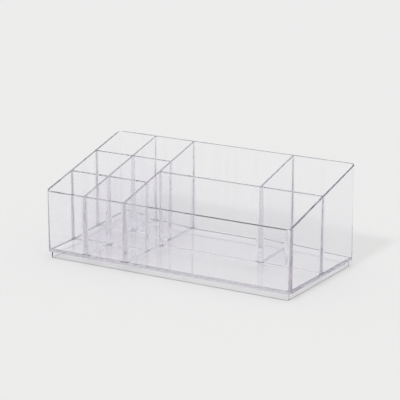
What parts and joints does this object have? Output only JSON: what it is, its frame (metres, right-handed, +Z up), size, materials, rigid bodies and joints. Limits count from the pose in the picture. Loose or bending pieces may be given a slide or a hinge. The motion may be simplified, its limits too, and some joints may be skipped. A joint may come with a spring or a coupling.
{
  "type": "vanity organizer",
  "caption": "Clear countertop vanity organizer with a rim that slopes up to the back, small bins at the left, a long front tray and deep bins behind it.",
  "frame": {"origin": "middle of the footprint, on the surface that the organizer stands on", "axes": "+X to the right seen from the front, +Y to the back, +Z up; the low front wall faces -Y"},
  "size_m": [0.305, 0.149, 0.1145],
  "materials": {
    "clear_wall": "clear, polished, faint cool violet tint in the edges",
    "clear_divider": "clear, polished, faint cool violet tint in the edges",
    "clear_base": "clear, polished, light scuffs on the floor from what is stored on it"
  },
  "bodies": {
    "root": {"front_wall": "clear_wall", "back_wall": "clear_wall", "left_wall": "clear_wall", "right_wall": "clear_wall", "section_divider": "clear_divider", "column_divider": "clear_divider", "front_row_divider": "clear_divider", "rear_row_divider": "clear_divider", "tray_divider": "clear_divider", "bin_divider": "clear_divider", "floor_panel": "clear_base", "plinth_front_rail": "clear_base", "plinth_back_rail": "clear_base", "plinth_left_rail": "clear_base", "plinth_right_rail": "clear_base"}
  },
  "joints": []
}
